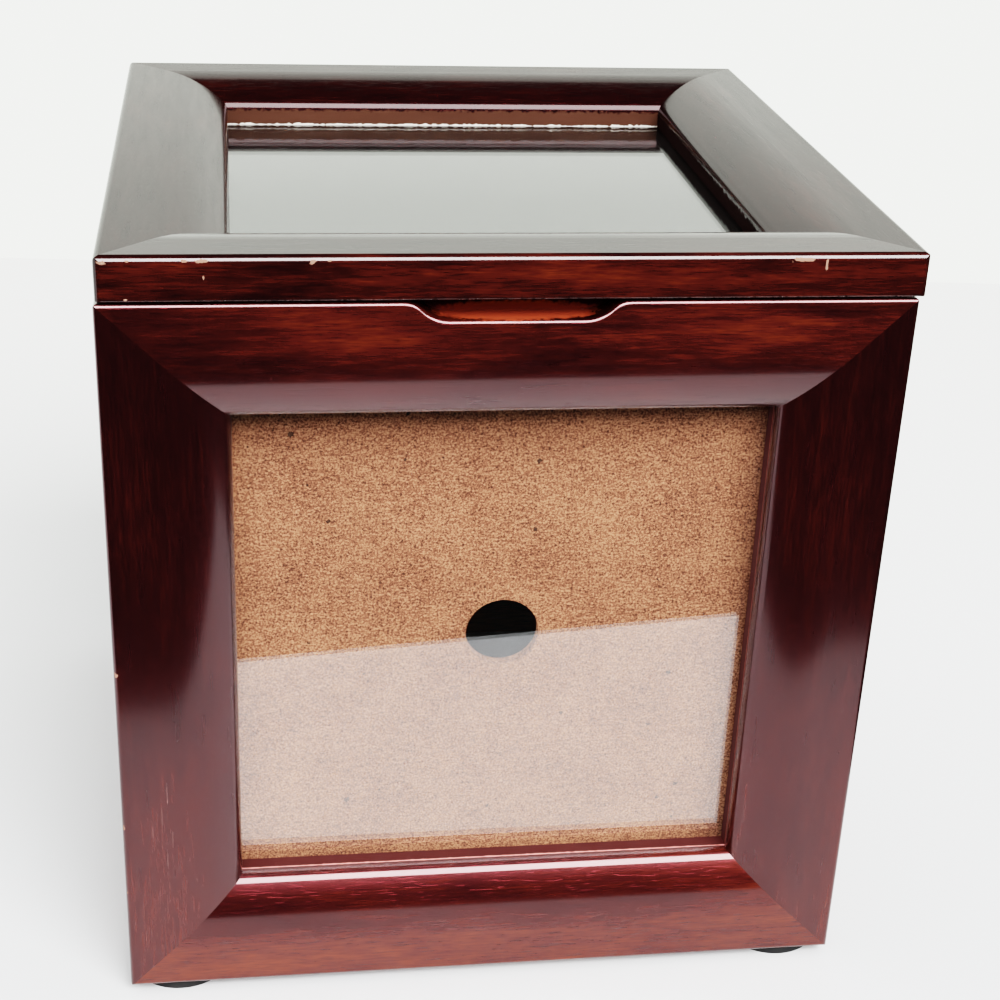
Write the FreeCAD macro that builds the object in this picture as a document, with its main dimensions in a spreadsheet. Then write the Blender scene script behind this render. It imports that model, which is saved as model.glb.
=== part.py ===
import FreeCAD, Part
import math
import os
import Sketcher

# Keepsake box for prints: a cube of four mitred picture frames, each with glass and a loose
# backing board, closed by a hinged lid that is a fifth frame.
# Millimetres, +Z up, front at -Y, origin on the table under the centre of the body.

SIZES = {
    # Body: four frames of one moulding, mitred on the face and at the corners of the cube
    "side_width": 140.0,
    "body_height": 140.0,
    "member_thickness": 14.0,
    "edge_round": 0.8,
    # Moulding, measured across its face from the outer edge to the sight edge
    "moulding_width": 21.9,
    "face_flat": 9.0,
    "nose_radius": 2.9,
    # How deep the roll and nose fall, as a share of the member's thickness
    "nose_drop_share": 0.42,
    # Glazing, in the rebate behind the sight edge; the lap is a share of what lies past the lid's tongue
    "lap_share": 0.482,
    "rebate_play": 0.3,
    "glass_thickness": 1.8,
    "print_gap": 0.2,
    "board_thickness": 2.2,
    "board_recess": 0.3,
    "finger_hole_diameter": 13.8,
    "finger_hole_offset": 1.4,
    "finger_hole_rise": 0.5,
    # Base: a panel let into the bottom rails, its lining and the round pads under the corners
    "panel_thickness": 4.0,
    "panel_lap": 4.0,
    "panel_play": 0.15,
    "lining_thickness": 1.0,
    "lining_margin": 0.5,
    "foot_diameter": 19.2,
    "foot_height": 1.8,
    "foot_inset": 9.6,
    "foot_setback": 10.4,
    # Finger scoop in the rim of the front top rail
    "scoop_width": 38.7,
    "scoop_depth": 3.3,
    "scoop_rim_radius": 4.5,
    "scoop_end_radius": 6.5,
    "scoop_reach": 5.6,
    # Lid: the same moulding, with a tongue that drops inside the body
    "lid_overhang": 0.3,
    "lid_offset": 0.65,
    "lid_gap": 0.45,
    "lid_edge": 7.8,
    "lid_edge_round": 1.2,
    "lid_under_round": 0.4,
    "lid_corner_round": 1.5,
    "tongue_clearance": 1.0,
    "lid_board_thickness": 2.8,
    "lid_board_recess": 0.4,
    # Butt hinges let into the back, and the bevels that stop the lid
    "lid_open_angle": 95.0,
    "hinge_margin": 19.5,
    "hinge_length": 25.0,
    "hinge_inset": 3.5,
    "leaf_width": 8.0,
    "leaf_thickness": 1.0,
    "barrel_diameter": 4.0,
    "pin_diameter": 2.0,
    "pin_fit": 0.05,
    "hinge_play": 0.3,
    # Small screws, and the countersunk holes for them in the hinge leaves
    "screw_shank_diameter": 2.0,
    "screw_head_diameter": 3.8,
    "screw_play": 0.05,
    "hinge_screw_spacing": 15.0,
    "hinge_screw_setback": 4.6,
    # Turn buttons that hold the lid's backing board, with their round-head screws
    "button_reach": 9.0,
    "button_clearance": 0.15,
    "button_thickness": 1.0,
    "button_screw_diameter": 1.6,
    "button_screw_length": 8.0,
    "button_head_height": 1.2,
    # How far every cut runs past the wood
    "overrun": 2.0,
}

# Part of a rounded right-angled edge's radius that is lost at its middle
CORNER_SHARE = 1 - math.sqrt(0.5)

QUARTER_TURN = 90

# Points of a drawn line or arc, in the order in which sketches number them
POINTS = ("edge", "start", "end", "centre")
START = POINTS.index("start")
END = POINTS.index("end")
CENTRE = POINTS.index("centre")

# A sketch's own origin, as a geometry number and a point
ROOT = (-1, START)

# Knuckles of a hinge: two on the body leaf and the one between them on the lid leaf
KNUCKLES = 3

SIDES = ("front", "right", "back", "left")

# Which hand of each flank, seen from outside, lies at the back of the box
BACK_HAND = {"right": 1, "left": -1}


class Size:
    """A length together with the sheet formula that gives it."""

    def __init__(self, value, formula):
        self.value = value
        self.formula = formula

    def __add__(self, other):
        return Size(self.value + other.value, f"({self.formula} + {other.formula})")

    def __sub__(self, other):
        return Size(self.value - other.value, f"({self.formula} - {other.formula})")

    def __mul__(self, other):
        other = as_size(other)
        return Size(self.value * other.value, f"({self.formula} * {other.formula})")

    def __truediv__(self, other):
        other = as_size(other)
        return Size(self.value / other.value, f"({self.formula} / {other.formula})")

    def __neg__(self):
        return Size(-self.value, f"(0 - {self.formula})")


def as_size(number):
    if isinstance(number, Size):
        return number
    return Size(number, f"({number})")


def cosine_of(sine):
    return Size(math.sqrt(1 - sine.value ** 2), f"sqrt(1 - {sine.formula} ^ 2)")


def tangent_of(degrees):
    return Size(math.tan(math.radians(degrees.value)), f"tan({degrees.formula} * 1 deg)")


doc = FreeCAD.newDocument("keepsake_box")
sheet = doc.addObject("Spreadsheet::Sheet", "Sizes")
size = {}
for row, (alias, number) in enumerate(SIZES.items(), start=1):
    sheet.set(f"A{row}", alias)
    sheet.set(f"B{row}", str(number))
    sheet.setAlias(f"B{row}", alias)
    size[alias] = Size(number, f"Sizes.{alias}")
doc.recompute()

ZERO = Size(0.0, "0")
sub_parts = []

# Values that several pieces share, worked out from the driving dimensions
half_side = size["side_width"] / 2
rim_height = size["foot_height"] + size["body_height"]
lid_width = size["side_width"] + size["lid_overhang"] * 2
lid_top = rim_height + size["lid_gap"] + size["lid_edge"]
tongue_inset = size["lid_overhang"] + size["member_thickness"] + size["tongue_clearance"]
rebate_edge = size["moulding_width"] - (size["moulding_width"] - tongue_inset) * size["lap_share"]
glazing = size["glass_thickness"] + size["print_gap"]
glass_setback = size["member_thickness"] - size["board_recess"] - size["board_thickness"] - glazing
lid_backing = size["lid_board_thickness"] + size["lid_board_recess"]
lid_glass_setback = size["member_thickness"] - lid_backing - glazing
button_inset = (tongue_inset + rebate_edge) / 2
barrel_radius = size["barrel_diameter"] / 2
shank_radius = size["screw_shank_diameter"] / 2
head_radius = size["screw_head_diameter"] / 2
hole_radius = shank_radius + size["screw_play"]
button_shank_radius = size["button_screw_diameter"] / 2
button_hole_radius = button_shank_radius + size["screw_play"]
half_hinge = size["hinge_length"] / 2
hinge_middle = half_side - size["hinge_margin"] - half_hinge
knuckle_length = size["hinge_length"] / KNUCKLES
lid_axis_inset = size["lid_overhang"] + size["hinge_inset"]
bevel_slope = tangent_of(size["lid_open_angle"] / 2)


def new_body(label):
    return doc.addObject("PartDesign::Body", label)


def new_sketch(body, plane, offset=None):
    """Makes a sketch on one of the body's own origin planes, moved along its normal."""
    planes = {feature.Role: feature for feature in body.Origin.OriginFeatures}
    sketch = body.newObject("Sketcher::SketchObject", f"{body.Name}_sketch")
    sketch.AttachmentSupport = [(planes[plane], "")]
    sketch.MapMode = "FlatFace"
    if offset is not None:
        sketch.setExpression("AttachmentOffset.Base.z", offset.formula)
    return sketch


def bind(sketch, kind, geometry, point, length):
    """Adds a dimension and ties it to the sheet."""
    if kind == "Radius":
        constraint = Sketcher.Constraint(kind, geometry, length.value)
    else:
        constraint = Sketcher.Constraint(kind, *ROOT, geometry, point, length.value)
    number = sketch.addConstraint(constraint)
    sketch.setExpression(f"Constraints[{number}]", length.formula)


def arc_middle(start, end, radius, turn):
    """Point half-way along an arc, which runs anticlockwise where turn is 1."""
    chord = end - start
    outward = FreeCAD.Vector(chord.y, -chord.x, 0).normalize() * turn
    rise = radius - math.sqrt(max(radius ** 2 - (chord.Length / 2) ** 2, 0))
    return (start + end) / 2 + outward * rise


def draw_outline(sketch, corners):
    """Draws a closed outline; a corner (x, y, radius, turn) starts an arc, (x, y) a line."""
    points = [FreeCAD.Vector(x.value, y.value, 0) for x, y, *_ in corners]
    first = sketch.GeometryCount
    ends = []
    for number, (_, _, *arc) in enumerate(corners):
        start = points[number]
        end = points[(number + 1) % len(points)]
        ends.append((START, END))
        if not arc:
            sketch.addGeometry(Part.LineSegment(start, end))
            continue
        radius, turn = arc
        sketch.addGeometry(Part.Arc(start, arc_middle(start, end, radius.value, turn), end))
        if turn < 0:
            ends[number] = (END, START)
    for number, (x, y, *arc) in enumerate(corners):
        geometry = first + number
        before = first + (number - 1) % len(corners)
        start, _ = ends[number]
        _, end_before = ends[number - 1]
        sketch.addConstraint(Sketcher.Constraint("Coincident", before, end_before, geometry, start))
        bind(sketch, "DistanceX", geometry, start, x)
        bind(sketch, "DistanceY", geometry, start, y)
        if arc:
            bind(sketch, "Radius", geometry, start, arc[0])


def draw_rectangle(sketch, low_x, high_x, low_y, high_y):
    draw_outline(sketch, [(low_x, low_y), (high_x, low_y), (high_x, high_y), (low_x, high_y)])


def draw_circle(sketch, centre_x, centre_y, radius):
    centre = FreeCAD.Vector(centre_x.value, centre_y.value, 0)
    geometry = sketch.addGeometry(Part.Circle(centre, FreeCAD.Vector(0, 0, 1), radius.value))
    bind(sketch, "DistanceX", geometry, CENTRE, centre_x)
    bind(sketch, "DistanceY", geometry, CENTRE, centre_y)
    bind(sketch, "Radius", geometry, CENTRE, radius)


def pad(body, sketch, length):
    """Adds material, half of the length to each side of the sketch."""
    feature = body.newObject("PartDesign::Pad", f"{body.Name}_pad")
    feature.Profile = sketch
    feature.SideType = "Symmetric"
    feature.setExpression("Length", length.formula)


def pocket(body, sketch, depth=None):
    """Cuts to the given depth on both sides of the sketch, or right through."""
    feature = body.newObject("PartDesign::Pocket", f"{body.Name}_pocket")
    feature.Profile = sketch
    feature.SideType = "Symmetric"
    if depth is None:
        feature.Type = "ThroughAll"
    else:
        feature.setExpression("Length", (depth * 2).formula)


def dress(body, kind, amount, wanted):
    """Rounds or chamfers the edges of the body so far for which wanted(edge) is true."""
    doc.recompute()
    base = body.Tip
    names = [f"Edge{number}" for number, edge in enumerate(base.Shape.Edges, start=1) if wanted(edge)]
    feature = body.newObject(f"PartDesign::{kind}", f"{body.Name}_{kind}")
    feature.Base = (base, names)
    feature.setExpression("Radius" if kind == "Fillet" else "Size", amount.formula)


def turned(x, y, quarters):
    """Turns a place about the vertical axis by quarter turns."""
    for _ in range(quarters):
        x, y = -y, x
    return x, y


def rotation(axis, quarters):
    return FreeCAD.Rotation(FreeCAD.Vector(*axis), QUARTER_TURN * quarters)


def place(obj, x, y, z, turn=None):
    """Puts a piece where it belongs, tied to the sheet."""
    position = FreeCAD.Vector(x.value, y.value, z.value)
    obj.Placement = FreeCAD.Placement(position, turn or FreeCAD.Rotation())
    for axis, distance in zip("xyz", (x, y, z)):
        obj.setExpression(f"Placement.Base.{axis}", distance.formula)


def finish(obj, x, y, z, turn=None):
    """Places a sub-part, labels it and lists it for writing."""
    place(obj, x, y, z, turn)
    obj.Label = obj.Name
    sub_parts.append(obj)


def box(label, length, width, height, x, y, z, quarters=0):
    """A plain sheet with its low corner at x, y, z before it is turned about the vertical."""
    sheet_piece = doc.addObject("Part::Box", label)
    sheet_piece.setExpression("Length", length.formula)
    sheet_piece.setExpression("Width", width.formula)
    sheet_piece.setExpression("Height", height.formula)
    x, y = turned(x, y, quarters)
    finish(sheet_piece, x, y, z, rotation((0, 0, 1), quarters))


def cylinder(label, radius, height, x, y, z, turn=None):
    """A plain disc or rod with the middle of its foot at x, y, z."""
    rod = doc.addObject("Part::Cylinder", label)
    rod.setExpression("Radius", radius.formula)
    rod.setExpression("Height", height.formula)
    finish(rod, x, y, z, turn)


# Moulding. Every member lies along X with its face at y = 0, its outer edge at z = 0 and its
# sight edge below; the section is drawn across it and the ends are then mitred.

def moulded_face(setback):
    """Corners of the section from the face's flat part round the roll and into the rebate.

    The roll leaves the flat without a step, and the nose carries it on to the sight edge. The nose's
    centre lies on an arc inside the roll's, and run and fall are the width and height of that arc.
    """
    nose = size["nose_radius"]
    run = size["moulding_width"] - size["face_flat"] - nose
    fall = size["member_thickness"] * size["nose_drop_share"] - nose
    squares = run * run + fall * fall
    sine = run * fall * 2 / squares
    cosine = (run * run - fall * fall) / squares
    roll = nose + squares / fall / 2
    roll_drop = roll - roll * cosine
    return [
        (ZERO, -size["face_flat"], roll, 1),
        (roll_drop, -size["face_flat"] - roll * sine, nose, 1),
        (roll_drop + nose * cosine, -size["moulding_width"]),
        (setback, -size["moulding_width"]),
        (setback, -rebate_edge),
        (size["member_thickness"], -rebate_edge),
    ]


def square_edge(edge_round):
    """Corners of the rounded outer edge of a rail or a lid member."""
    return [(edge_round, ZERO, edge_round, 1), (ZERO, -edge_round)]


def rail_section(outer_edge):
    return outer_edge + moulded_face(glass_setback) + [(size["member_thickness"], ZERO)]


def bottom_rail_section():
    """A rail with a rebate for the bottom panel along its inner lower edge."""
    panel_edge = size["member_thickness"] - size["panel_lap"]
    rebate = [
        (size["member_thickness"], -size["panel_thickness"]),
        (panel_edge, -size["panel_thickness"]),
        (panel_edge, ZERO),
    ]
    return square_edge(size["edge_round"]) + moulded_face(glass_setback) + rebate


def stile_section():
    """An upright, mitred along its outer edge where it meets the next frame."""
    lost = size["edge_round"] * CORNER_SHARE
    outer = [(lost, -lost, size["edge_round"], 1), (ZERO, -size["edge_round"])]
    back = [(size["member_thickness"], -size["member_thickness"])]
    return outer + moulded_face(glass_setback) + back


def lid_section():
    """A lid member: the moulding with a tongue below its thin outer edge."""
    under = size["lid_under_round"]
    tongue = [
        (size["member_thickness"], -tongue_inset),
        (size["lid_edge"], -tongue_inset),
        (size["lid_edge"], -under, under, 1),
        (size["lid_edge"] - under, ZERO),
    ]
    return square_edge(size["lid_edge_round"]) + moulded_face(lid_glass_setback) + tongue


def mitre_corners(half_length, depth, end, inward, corner_round=None):
    """Waste beyond a 45 degree cut at one end, with the outer corner rounded off."""
    reach = depth + size["overrun"]
    past = size["overrun"]
    if corner_round is None:
        corners = [(half_length + past, -past)]
    else:
        lost = corner_round * CORNER_SHARE
        corners = [
            (half_length + past, -past),
            (half_length - corner_round, -past),
            (half_length - corner_round, ZERO, corner_round, end * inward),
            (half_length - lost, lost),
        ]
    corners += [(half_length - reach, reach), (half_length + past, reach)]
    return [(corner[0] * end, corner[1] * inward, *corner[2:]) for corner in corners]


def member(label, section, length, mitres, shape=None):
    """Pads a section along X, shapes its edge if told how and mitres both ends.

    mitres lists plane, depth, side and rounding.
    """
    body = new_body(label)
    profile = new_sketch(body, "YZ_Plane")
    draw_outline(profile, section)
    pad(body, profile, length)
    if shape:
        shape(body)
    for plane, depth, inward, corner_round in mitres:
        waste = new_sketch(body, plane)
        for end in (-1, 1):
            draw_outline(waste, mitre_corners(length / 2, depth, end, inward, corner_round))
        pocket(body, waste)
    return body


# Body frames. Each side is the front one turned about the vertical axis.

FACE_MITRE = ("XZ_Plane", size["moulding_width"], -1, None)
CUBE_MITRE = ("XY_Plane", size["member_thickness"], 1, size["edge_round"])


def cut_scoop(rail):
    """Cuts the finger scoop into the rim and rounds the rim and the scoop's lip in one sweep.

    Each end of the scoop is an arc that rolls down from the rim and an arc that sweeps into the flat
    floor, with no step between them.
    """
    roll = size["scoop_rim_radius"]
    sweep = size["scoop_end_radius"]
    both = roll + sweep
    slope = cosine_of((both - size["scoop_depth"]) / both)
    half_top = size["scoop_width"] / 2
    half_bend = half_top - roll * slope
    half_floor = half_top - both * slope
    bend_drop = size["scoop_depth"] * roll / both
    outline = new_sketch(rail, "XZ_Plane")
    draw_outline(outline, [
        (half_top, size["overrun"]),
        (-half_top, size["overrun"]),
        (-half_top, ZERO, roll, -1),
        (-half_bend, -bend_drop, sweep, 1),
        (-half_floor, -size["scoop_depth"]),
        (half_floor, -size["scoop_depth"], sweep, 1),
        (half_bend, -bend_drop, roll, -1),
        (half_top, ZERO),
    ])
    pocket(rail, outline, size["scoop_reach"])

    def on_front_lip(edge):
        bounds = edge.BoundBox
        on_face = bounds.YMax < size["edge_round"].value / 2
        return on_face and bounds.ZMin > -size["face_flat"].value / 2

    dress(rail, "Fillet", size["edge_round"], on_front_lip)


def cut_hinge_seats(wood, surface, leaf_plane, axis_inset, axis_rise, shift):
    """Lets both hinges into a back rail: a mortise for each leaf and a groove for each barrel.

    surface is the offset of the face that the leaves lie in, along the leaf plane's normal.
    axis_inset and axis_rise place the hinge axis in the member's own section.
    """
    leaves = new_sketch(wood, leaf_plane, surface)
    inward = 1 if leaf_plane == "XY_Plane" else -1
    half_mortise = half_hinge + size["hinge_play"]
    near = axis_inset * inward
    far = (axis_inset + size["leaf_width"] + size["hinge_play"]) * inward
    for side in (-1, 1):
        middle = hinge_middle * side - shift
        draw_rectangle(leaves, middle - half_mortise, middle + half_mortise, near, far)
    pocket(wood, leaves, size["leaf_thickness"])
    for side in (-1, 1):
        groove = new_sketch(wood, "YZ_Plane", hinge_middle * side - shift)
        if leaf_plane == "XY_Plane":
            draw_circle(groove, axis_inset, axis_rise, barrel_radius + size["hinge_play"])
        else:
            draw_circle(groove, axis_rise, -axis_inset, barrel_radius + size["hinge_play"])
        pocket(wood, groove, half_mortise)


def bevel(wood, plane, inset, locate):
    """Bevels wood behind the hinge axis so that the open lid stops just past upright.

    locate turns a distance in from the back and a height above the joint into sketch coordinates.
    """
    past = size["overrun"]
    waste = new_sketch(wood, plane)
    draw_outline(waste, [
        locate(inset + past, bevel_slope * past),
        locate(-past, bevel_slope * past),
        locate(-past, -(inset + past) * bevel_slope),
    ])
    pocket(wood, waste)


half_stile = size["body_height"] / 2
middle_height = size["foot_height"] + half_stile
sheet_width = size["side_width"] - (rebate_edge + size["rebate_play"]) * 2
sheet_height = size["body_height"] - (rebate_edge + size["rebate_play"]) * 2
glass_face = glass_setback - half_side
board_face = glass_face + glazing

for quarters, side in enumerate(SIDES):
    facing = rotation((0, 0, 1), quarters)

    plain_edge = square_edge(size["edge_round"])
    edge, shape = ([(ZERO, ZERO)], cut_scoop) if side == "front" else (plain_edge, None)
    top_rail = member(f"{side}_top_rail", rail_section(edge), size["side_width"],
                      (FACE_MITRE, CUBE_MITRE), shape)
    if side == "back":
        bevel(top_rail, "YZ_Plane", size["hinge_inset"], lambda back, above: (back, above))
        cut_hinge_seats(top_rail, ZERO, "XY_Plane", size["hinge_inset"], size["lid_gap"] / 2, ZERO)
    if side in BACK_HAND:
        end = BACK_HAND[side]
        bevel(top_rail, "XZ_Plane", size["hinge_inset"],
              lambda back, above: ((half_side - back) * end, above))
    x, y = turned(ZERO, -half_side, quarters)
    finish(top_rail, x, y, rim_height, facing)

    bottom_rail = member(f"{side}_bottom_rail", bottom_rail_section(), size["side_width"],
                         (FACE_MITRE, CUBE_MITRE))
    finish(bottom_rail, x, y, size["foot_height"], facing * rotation((0, 1, 0), 2))

    for hand, outward in (("left", -1), ("right", 1)):
        stile = member(f"{side}_{hand}_stile", stile_section(), size["body_height"], (FACE_MITRE,))
        if side == "back":
            bevel(stile, "XY_Plane", size["hinge_inset"],
                  lambda back, above: ((half_stile + above) * -outward, back))
        if BACK_HAND.get(side) == outward:
            bevel(stile, "XZ_Plane", size["hinge_inset"],
                  lambda back, above: ((half_stile + above) * -outward, -back))
        x, y = turned(half_side * outward, -half_side, quarters)
        finish(stile, x, y, middle_height, facing * rotation((0, 1, 0), outward))

    box(f"{side}_glass", sheet_width, size["glass_thickness"], sheet_height,
        -sheet_width / 2, glass_face, middle_height - sheet_height / 2, quarters)

    board = new_body(f"{side}_backing_board")
    outline = new_sketch(board, "XZ_Plane")
    draw_rectangle(outline, -sheet_width / 2, sheet_width / 2, -sheet_height / 2, sheet_height / 2)
    draw_circle(outline, size["finger_hole_offset"], size["finger_hole_rise"],
                size["finger_hole_diameter"] / 2)
    pad(board, outline, size["board_thickness"])
    x, y = turned(ZERO, board_face + size["board_thickness"] / 2, quarters)
    finish(board, x, y, middle_height, facing)

# Base: the panel is glued into the rebates of the bottom rails, flush with their lower edges.

panel_width = size["side_width"] - (size["member_thickness"] - size["panel_lap"] + size["panel_play"]) * 2
box("bottom_panel", panel_width, panel_width, size["panel_thickness"],
    -panel_width / 2, -panel_width / 2, size["foot_height"])

lining_width = size["side_width"] - (size["member_thickness"] + size["lining_margin"]) * 2
box("floor_lining", lining_width, lining_width, size["lining_thickness"],
    -lining_width / 2, -lining_width / 2, size["foot_height"] + size["panel_thickness"])

foot_x = half_side - size["foot_inset"]
foot_y = half_side - size["foot_setback"]
for end, along in (("front", -1), ("back", 1)):
    for hand, across in (("left", -1), ("right", 1)):
        cylinder(f"{end}_{hand}_foot", size["foot_diameter"] / 2, size["foot_height"],
                 foot_x * across, foot_y * along, ZERO)

# Lid: four members of the same moulding lying flat, glass and a blind backing board.

LID_MITRE = ("XZ_Plane", size["moulding_width"], -1, size["lid_corner_round"])


def cut_button_pilot(rail):
    """Bores the tongue for the screw of a turn button, at the middle of its length."""
    pilot = new_sketch(rail, "XZ_Plane", -size["member_thickness"])
    draw_circle(pilot, ZERO, -button_inset, button_hole_radius)
    pocket(rail, pilot, size["button_screw_length"])


for quarters, side in enumerate(("back", "left", "front", "right")):
    lid_rail = member(f"lid_{side}_rail", lid_section(), lid_width, (LID_MITRE,))
    if side == "back":
        axis_depth = size["lid_edge"] + size["lid_gap"] / 2
        bevel(lid_rail, "YZ_Plane", lid_axis_inset, lambda back, above: (size["lid_edge"] + above, -back))
        cut_hinge_seats(lid_rail, -size["lid_edge"], "XZ_Plane", lid_axis_inset, axis_depth,
                        size["lid_offset"])
    if side in BACK_HAND:
        end = -BACK_HAND[side]
        bevel(lid_rail, "XY_Plane", lid_axis_inset,
              lambda back, above: ((lid_width / 2 - back) * end, size["lid_edge"] + above))
        cut_button_pilot(lid_rail)
    x, y = turned(ZERO, lid_width / 2, quarters)
    finish(lid_rail, x + size["lid_offset"], y, lid_top,
           rotation((0, 0, 1), quarters) * rotation((1, 0, 0), -1))

lid_sheet_width = lid_width - (rebate_edge + size["rebate_play"]) * 2
lid_sheet_x = size["lid_offset"] - lid_sheet_width / 2
lid_glass_foot = lid_top - lid_glass_setback - size["glass_thickness"]
lid_board_foot = lid_glass_foot - size["print_gap"] - size["lid_board_thickness"]
box("lid_glass", lid_sheet_width, lid_sheet_width, size["glass_thickness"],
    lid_sheet_x, -lid_sheet_width / 2, lid_glass_foot)
box("lid_backing_board", lid_sheet_width, lid_sheet_width, size["lid_board_thickness"],
    lid_sheet_x, -lid_sheet_width / 2, lid_board_foot)

# Hinges: leaves let into the rim and the lid, their knuckles on a pressed pin.


def leaf(label, side, knuckle_gap_spans, knuckle_pad_length, bore_radius):
    """A leaf on one side of the hinge axis, which runs along X through the origin."""
    body = new_body(label)
    surface = size["lid_gap"] / 2 * side
    outside = surface + size["leaf_thickness"] * side
    plate = new_sketch(body, "YZ_Plane")
    draw_rectangle(plate, -size["leaf_width"], ZERO, surface, outside)
    pad(body, plate, size["hinge_length"])
    barrel = new_sketch(body, "YZ_Plane")
    draw_circle(barrel, ZERO, ZERO, barrel_radius)
    pad(body, barrel, knuckle_pad_length)
    gaps = new_sketch(body, "XY_Plane")
    near = -barrel_radius - size["hinge_play"]
    far = barrel_radius + size["overrun"]
    for low, high in knuckle_gap_spans:
        draw_rectangle(gaps, low, high, near, far)
    pocket(body, gaps)
    bore = new_sketch(body, "YZ_Plane")
    draw_circle(bore, ZERO, ZERO, bore_radius)
    pocket(body, bore)
    holes = new_sketch(body, "XY_Plane")
    for step in (-1, 1):
        hole_x = size["hinge_screw_spacing"] / 2 * step
        draw_circle(holes, hole_x, -size["hinge_screw_setback"], hole_radius)
    pocket(body, holes)

    def at_surface(edge):
        round_edge = isinstance(edge.Curve, Part.Circle)
        in_surface = abs(edge.BoundBox.Center.z - surface.value) < size["leaf_thickness"].value / 2
        return round_edge and in_surface and edge.BoundBox.ZLength < size["screw_play"].value

    dress(body, "Chamfer", head_radius - shank_radius, at_surface)
    return body


axis_y = half_side - size["hinge_inset"]
axis_z = rim_height + size["lid_gap"] / 2
half_knuckle = knuckle_length / 2
middle_gap = half_knuckle + size["hinge_play"] / 2
outer_gap = half_knuckle - size["hinge_play"] / 2
for name, side in (("left", -1), ("right", 1)):
    hinge_x = hinge_middle * side
    body_leaf = leaf(f"{name}_hinge_body_leaf", -1, [(-middle_gap, middle_gap)],
                     size["hinge_length"], size["pin_diameter"] / 2)
    finish(body_leaf, hinge_x, axis_y, axis_z)
    past_end = half_hinge + size["overrun"]
    lid_leaf = leaf(f"{name}_hinge_lid_leaf", 1, [(-past_end, -outer_gap), (outer_gap, past_end)],
                    knuckle_length, size["pin_diameter"] / 2 + size["pin_fit"])
    finish(lid_leaf, hinge_x, axis_y, axis_z)
    cylinder(f"{name}_hinge_pin", size["pin_diameter"] / 2, size["hinge_length"],
             hinge_x - half_hinge, axis_y, axis_z, rotation((0, 1, 0), 1))

# Turn buttons under the tongue of the lid's left and right members, each on a screw.


def round_head_screw(label):
    """A screw turned about its axis, with the underside of its domed head at the origin."""
    length = size["button_screw_length"]
    height = size["button_head_height"]
    dome_radius = (head_radius * head_radius + height * height) / height / 2
    body = new_body(label)
    half_section = new_sketch(body, "XZ_Plane")
    draw_outline(half_section, [
        (ZERO, -length),
        (button_shank_radius, button_shank_radius - length),
        (button_shank_radius, ZERO),
        (head_radius, ZERO, dome_radius, 1),
        (ZERO, height),
    ])
    turning = body.newObject("PartDesign::Revolution", f"{label}_turning")
    turning.Profile = half_section
    turning.ReferenceAxis = (half_section, ["V_Axis"])
    return body


tongue_foot = lid_top - size["member_thickness"]
button_foot = tongue_foot - size["button_thickness"]
button_screws = []
beside_tongue = size["tongue_clearance"] - size["lid_offset"] - size["button_clearance"]
half_width = button_inset - tongue_inset + beside_tongue
for name, side in (("left", -1), ("right", 1)):
    button = new_body(f"lid_{name}_turn_button")
    outline = new_sketch(button, "XY_Plane")
    draw_outline(outline, [
        (ZERO, -half_width),
        (size["button_reach"] - half_width, -half_width, half_width, 1),
        (size["button_reach"], ZERO, half_width, 1),
        (size["button_reach"] - half_width, half_width),
        (ZERO, half_width, half_width, 1),
        (-half_width, ZERO, half_width, 1),
    ])
    draw_circle(outline, ZERO, ZERO, button_hole_radius)
    pad(button, outline, size["button_thickness"])
    button_x = (lid_width / 2 - button_inset) * side + size["lid_offset"]
    inward_turn = rotation((0, 0, 1), side + 1)
    finish(button, button_x, ZERO, button_foot + size["button_thickness"] / 2, inward_turn)
    button_screw = round_head_screw(f"turn_button_screw_{name}")
    place(button_screw, button_x, ZERO, button_foot, rotation((1, 0, 0), 2))
    button_screws.append(button_screw)

screw_pair = doc.addObject("Part::Compound", "turn_button_screws")
screw_pair.Links = button_screws
finish(screw_pair, ZERO, ZERO, ZERO)

# Checks: every object up to date, every cut cutting, every shape whole

doc.recompute()
for obj in doc.Objects:
    if "Invalid" in obj.State or "Error" in obj.State:
        raise RuntimeError(f"{obj.Name} failed: {obj.State}")
    if obj.TypeId == "PartDesign::Pocket" and obj.Shape.Volume >= obj.BaseFeature.Shape.Volume:
        raise RuntimeError(f"{obj.Name} cuts nothing")

os.makedirs("parts", exist_ok=True)
for part in sub_parts:
    if part.Shape.isNull() or not part.Shape.isValid():
        raise RuntimeError(f"{part.Label} has no valid shape")
for part in sub_parts:
    part.Shape.exportStep(f"parts/{part.Label}.step")
    print(part.Label, len(part.Shape.Solids), round(part.Shape.Volume, 1))
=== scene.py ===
# Keepsake box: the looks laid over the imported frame, in the order in which the box is put together
import math
import bpy
from mathutils import Matrix, Vector


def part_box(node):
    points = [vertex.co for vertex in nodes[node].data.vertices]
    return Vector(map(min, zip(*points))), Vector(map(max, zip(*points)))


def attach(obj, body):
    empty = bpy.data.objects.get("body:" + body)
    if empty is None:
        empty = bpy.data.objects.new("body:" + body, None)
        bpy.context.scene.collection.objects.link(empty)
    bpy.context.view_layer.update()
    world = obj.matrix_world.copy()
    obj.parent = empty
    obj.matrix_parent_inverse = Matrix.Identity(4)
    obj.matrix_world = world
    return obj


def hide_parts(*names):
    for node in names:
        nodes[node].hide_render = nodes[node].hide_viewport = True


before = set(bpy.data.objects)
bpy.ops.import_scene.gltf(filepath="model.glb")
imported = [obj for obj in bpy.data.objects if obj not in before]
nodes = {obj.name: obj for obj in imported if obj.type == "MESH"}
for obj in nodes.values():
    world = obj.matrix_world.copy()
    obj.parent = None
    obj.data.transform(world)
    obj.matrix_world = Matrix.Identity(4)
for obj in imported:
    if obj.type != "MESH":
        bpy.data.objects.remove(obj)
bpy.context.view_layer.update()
bpy.ops.object.select_all(action="DESELECT")

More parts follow.
